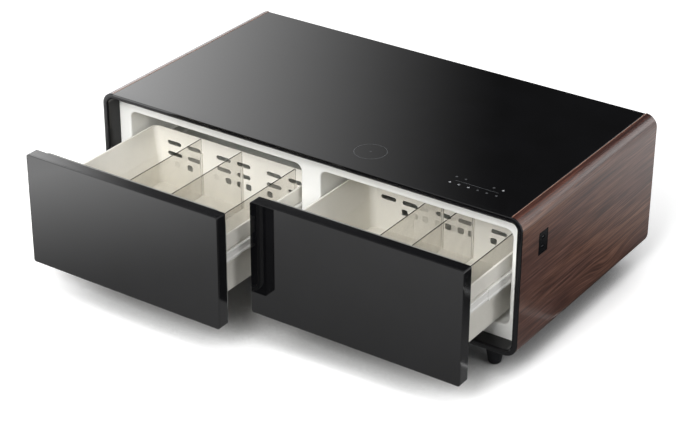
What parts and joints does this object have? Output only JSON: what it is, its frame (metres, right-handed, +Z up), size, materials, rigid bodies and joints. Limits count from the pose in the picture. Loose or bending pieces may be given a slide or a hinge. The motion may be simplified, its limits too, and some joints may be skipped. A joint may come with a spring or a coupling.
{
  "type": "refrigerator coffee table",
  "caption": "Low refrigerated coffee table with a black glass top, walnut-look side shells and dark glass drawer fronts, with both drawers partly pulled out.",
  "frame": {"origin": "the middle of the overall box at floor level, with the drawers as shown", "axes": "+X to the table's right seen from its front, +Y towards its back, +Z up; the drawers open towards -Y"},
  "size_m": [1.3, 1.052, 0.45],
  "materials": {
    "walnut": "satin dark walnut veneer with its grain along the depth",
    "black_glass": "polished back-painted black tempered glass",
    "black_plastic": "semi-gloss black moulding",
    "white_plastic": "smooth white moulding",
    "warm_white": "smooth warm white moulding",
    "clear_plastic": "clear smoke-tinted sheet",
    "grey_rubber": "soft grey magnetic seal",
    "black_rubber": "matte black rubber-like moulding",
    "foam": "foamed-in-place polyurethane",
    "zinc_steel": "zinc-coated sheet",
    "painted_steel": "white powder coat",
    "black_steel": "black paint",
    "aluminium": "mill finish",
    "copper": null,
    "board_green": "green circuit board",
    "board_wood": "raw fibreboard"
  },
  "bodies": {
    "case": {"side_shell_left": "walnut", "side_shell_right": "walnut", "top_glass": "black_glass", "top_deck": "board_wood", "control_board": "board_green", "charging_coil": "copper", "front_frame": "black_plastic", "inner_liner": "white_plastic", "foam_insulation": "foam", "base_pan": "zinc_steel", "back_panel": "black_plastic", "service_panel": "black_plastic", "foot_front_left": "black_rubber", "foot_front_right": "black_rubber", "foot_rear_left": "black_rubber", "foot_rear_right": "black_rubber", "outlet_plate": "black_plastic", "outlet_module": "black_plastic", "power_inlet": "black_plastic", "evaporator": "aluminium", "evaporator_fan_frame": "black_plastic", "left_duct_cover": "white_plastic", "right_duct_cover": "white_plastic", "condenser": "black_steel", "condenser_fan_frame": "black_plastic", "compressor": "black_steel", "compressor_cushion": "black_rubber", "relay_box": "black_plastic", "hot_pipe": "copper", "cold_pipe": "copper", "condensate_tray": "white_plastic", "power_supply": "zinc_steel", "left_slide_outer_left": "painted_steel", "left_slide_outer_right": "painted_steel", "right_slide_outer_left": "painted_steel", "right_slide_outer_right": "painted_steel"},
    "left_drawer": {"left_front_glass": "black_glass", "left_front_core": "black_plastic", "left_gasket": "grey_rubber", "left_bin": "warm_white", "left_divider_1": "clear_plastic", "left_divider_2": "clear_plastic", "left_divider_3": "clear_plastic", "left_slide_inner_left": "painted_steel", "left_slide_inner_right": "painted_steel"},
    "left_slide_middles": {"left_slide_middle_left": "painted_steel", "left_slide_middle_right": "painted_steel"},
    "right_drawer": {"right_front_glass": "black_glass", "right_front_core": "black_plastic", "right_gasket": "grey_rubber", "right_bin": "warm_white", "right_divider_1": "clear_plastic", "right_divider_2": "clear_plastic", "right_divider_3": "clear_plastic", "right_slide_inner_left": "painted_steel", "right_slide_inner_right": "painted_steel"},
    "right_slide_middles": {"right_slide_middle_left": "painted_steel", "right_slide_middle_right": "painted_steel"},
    "condenser_fan_blades": {"condenser_fan_rotor": "white_plastic"},
    "evaporator_fan_blades": {"evaporator_fan_rotor": "white_plastic"}
  },
  "joints": [
    {"name": "left_drawer_slide", "type": "slide", "parent": "case", "child": "left_drawer", "axis": [0, -1, 0], "range_m": [-0.338, 0.062]},
    {"name": "left_middle_slide", "type": "slide", "parent": "case", "child": "left_slide_middles", "axis": [0, -1, 0], "range_m": [-0.169, 0.031]},
    {"name": "right_drawer_slide", "type": "slide", "parent": "case", "child": "right_drawer", "axis": [0, -1, 0], "range_m": [-0.22, 0.18]},
    {"name": "right_middle_slide", "type": "slide", "parent": "case", "child": "right_slide_middles", "axis": [0, -1, 0], "range_m": [-0.11, 0.09]},
    {"name": "condenser_fan_spin", "type": "hinge", "parent": "case", "child": "condenser_fan_blades", "pos_m": [-0.42, 0.4378, 0.1618], "axis": [0, 1, 0], "continuous": true},
    {"name": "evaporator_fan_spin", "type": "hinge", "parent": "case", "child": "evaporator_fan_blades", "pos_m": [-0.12, 0.3148, 0.2515], "axis": [0, 1, 0], "continuous": true}
  ],
  "couplings": [
    {"joint": "left_middle_slide", "follows": "left_drawer_slide", "ratio": 0.5},
    {"joint": "right_middle_slide", "follows": "right_drawer_slide", "ratio": 0.5}
  ]
}
